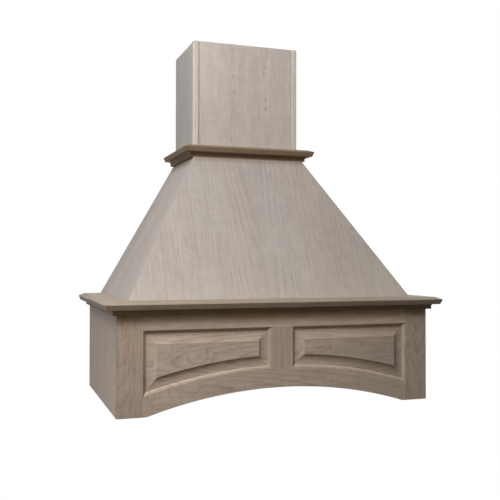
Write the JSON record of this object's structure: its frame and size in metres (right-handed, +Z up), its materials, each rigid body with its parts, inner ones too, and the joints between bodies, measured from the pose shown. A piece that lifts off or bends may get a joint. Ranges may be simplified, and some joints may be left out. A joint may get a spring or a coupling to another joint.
{
  "type": "wooden range hood cover",
  "caption": "Wooden wall cover for a kitchen range hood: box with arched raised-panel front and mantel moulding, tapering upper part, collar moulding and straight chimney, open inside.",
  "frame": {"origin": "on the wall plane, at the middle of the cover's width and level with its bottom edge", "axes": "+X to the right seen from the front, +Y into the wall so that the front faces -Y, +Z up"},
  "size_m": [0.9848, 0.594, 1.0922],
  "materials": {
    "frame_wood": "sanded, unfinished",
    "panel_wood": "sanded, unfinished",
    "moulding_wood": "sanded, unfinished",
    "inside_wood": "sawn and planed, unfinished",
    "screw_steel": "zinc plated"
  },
  "bodies": {
    "root": {"left_end_stile": "frame_wood", "right_end_stile": "frame_wood", "top_rail": "frame_wood", "arched_bottom_rail": "frame_wood", "centre_stile": "frame_wood", "left_raised_panel": "panel_wood", "right_raised_panel": "panel_wood", "left_side_panel": "panel_wood", "right_side_panel": "panel_wood", "taper_front_panel": "panel_wood", "taper_left_panel": "panel_wood", "taper_right_panel": "panel_wood", "chimney_front_panel": "panel_wood", "chimney_left_panel": "panel_wood", "chimney_right_panel": "panel_wood", "mantel_moulding_front": "moulding_wood", "mantel_moulding_left": "moulding_wood", "mantel_moulding_right": "moulding_wood", "collar_moulding_front": "moulding_wood", "collar_moulding_left": "moulding_wood", "collar_moulding_right": "moulding_wood", "chimney_left_post": "moulding_wood", "chimney_right_post": "moulding_wood", "back_ledger": "inside_wood", "chimney_left_cleat": "inside_wood", "chimney_lower_rail": "inside_wood", "chimney_right_cleat": "inside_wood", "chimney_upper_rail": "inside_wood", "collar_frame_back": "inside_wood", "collar_frame_front": "inside_wood", "collar_frame_left": "inside_wood", "collar_frame_right": "inside_wood", "deck_back_board": "inside_wood", "deck_front_board": "inside_wood", "deck_left_board": "inside_wood", "deck_right_board": "inside_wood", "front_foot_cleat": "inside_wood", "front_ledger": "inside_wood", "hanging_rail": "inside_wood", "left_foot_cleat": "inside_wood", "left_glue_block": "inside_wood", "left_hip_batten": "inside_wood", "left_ledger": "inside_wood", "lower_back_rail": "inside_wood", "right_foot_cleat": "inside_wood", "right_glue_block": "inside_wood", "right_hip_batten": "inside_wood", "right_ledger": "inside_wood", "taper_top_rail": "inside_wood", "upper_back_rail": "inside_wood", "ledger_screws": "screw_steel", "foot_cleat_screws": "screw_steel", "chimney_cleat_screws": "screw_steel"}
  },
  "joints": []
}
